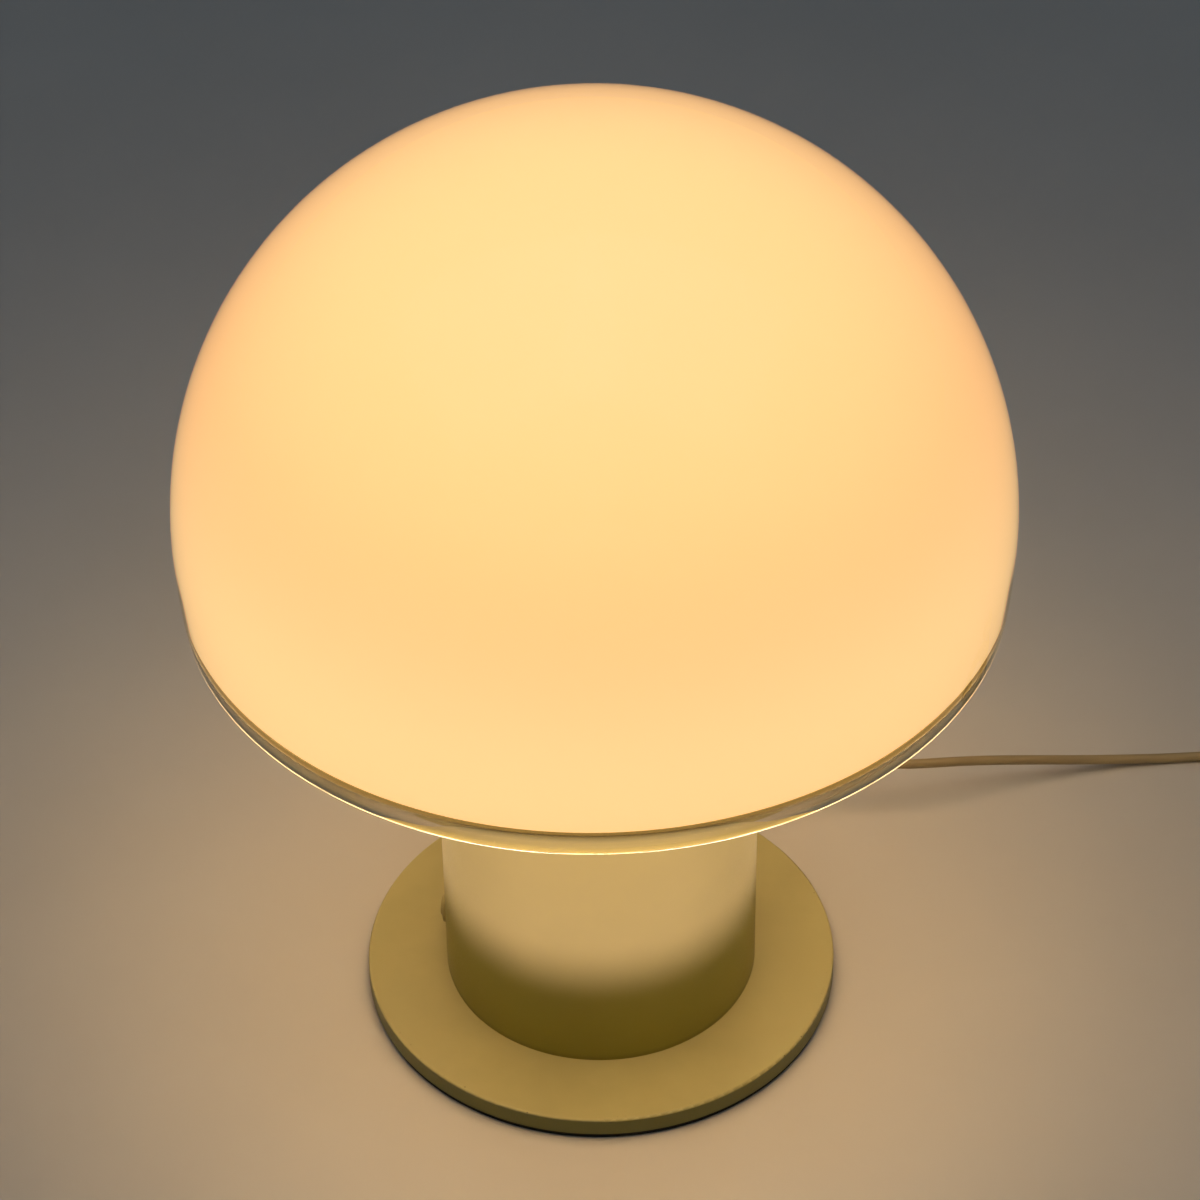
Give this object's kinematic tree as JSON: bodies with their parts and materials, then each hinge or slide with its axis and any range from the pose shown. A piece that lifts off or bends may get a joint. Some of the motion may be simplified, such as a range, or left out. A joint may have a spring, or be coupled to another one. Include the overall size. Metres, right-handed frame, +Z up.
{
  "type": "mushroom table lamp",
  "caption": "Mushroom table lamp with a domed opal glass shade that lifts off, a thick cream column with a push button, a disc base and a mains cord.",
  "frame": {"origin": "on the floor under the middle of the base", "axes": "+Z up, -Y towards the viewer, +X to the viewer's right"},
  "size_m": [0.6389, 0.38, 0.4815],
  "materials": {
    "cream_lacquer": "satin lacquer, lightly worn",
    "cream_plastic": "satin, lets a little light through",
    "black_pad": "matt foam rubber",
    "soft_tip": "matt",
    "bright_steel": "zinc plated",
    "contact_brass": "bright",
    "dark_plastic": "moulded, satin",
    "ivory_plastic": "moulded, satin",
    "cord_sheath": "soft smooth sheath",
    "black_tie": "matt strap",
    "bulb_glass": "frosted, lit",
    "bulb_cap": "bright",
    "clear_glass": "clear, polished",
    "opal_glass": "opal, glossy outside, lit"
  },
  "bodies": {
    "stand": {"base_pad": "black_pad", "base_disc": "cream_lacquer", "locating_ring": "bright_steel", "ring_screws": "bright_steel", "column": "cream_plastic", "stem": "bright_steel", "stem_nuts": "bright_steel", "stem_washers": "bright_steel", "carrier_hub": "bright_steel", "carrier_arms": "bright_steel", "carrier_tips": "soft_tip", "socket_bracket": "bright_steel", "holder_nipples": "bright_steel", "lampholder_left": "dark_plastic", "lampholder_right": "dark_plastic", "screw_shell_left": "contact_brass", "screw_shell_right": "contact_brass", "contact_left": "contact_brass", "contact_right": "contact_brass", "leads": "cord_sheath", "lead_grommets": "soft_tip", "terminal_blocks": "ivory_plastic", "block_screws": "bright_steel", "switch_collar": "cream_plastic", "switch_nut": "bright_steel", "switch_body": "dark_plastic", "cord_bush": "cord_sheath", "power_cord": "cord_sheath", "cord_coil": "cord_sheath", "cord_tie": "black_tie", "plug_body": "ivory_plastic", "plug_pins": "bright_steel"},
    "shade": {"shade_clear": "clear_glass", "shade_opal": "opal_glass"},
    "bulb_left": {"bulb_glass_left": "bulb_glass", "bulb_cap_left": "bulb_cap"},
    "bulb_right": {"bulb_glass_right": "bulb_glass", "bulb_cap_right": "bulb_cap"},
    "button": {"switch_button": "cream_plastic"}
  },
  "joints": [
    {"name": "shade_lift", "type": "slide", "parent": "stand", "child": "shade", "axis": [0, 0, 1], "range_m": [0, 0.2]},
    {"name": "bulb_left_out", "type": "slide", "parent": "stand", "child": "bulb_left", "axis": [-0.1736, 0, 0.9848], "range_m": [0, 0.03]},
    {"name": "bulb_right_out", "type": "slide", "parent": "stand", "child": "bulb_right", "axis": [0.1736, 0, 0.9848], "range_m": [0, 0.03]},
    {"name": "switch_press", "type": "slide", "parent": "stand", "child": "button", "axis": [0.9848, -0.1736, 0], "range_m": [0, 0.0015], "stiffness_N_per_m": 300, "springref_m": -0.002}
  ]
}
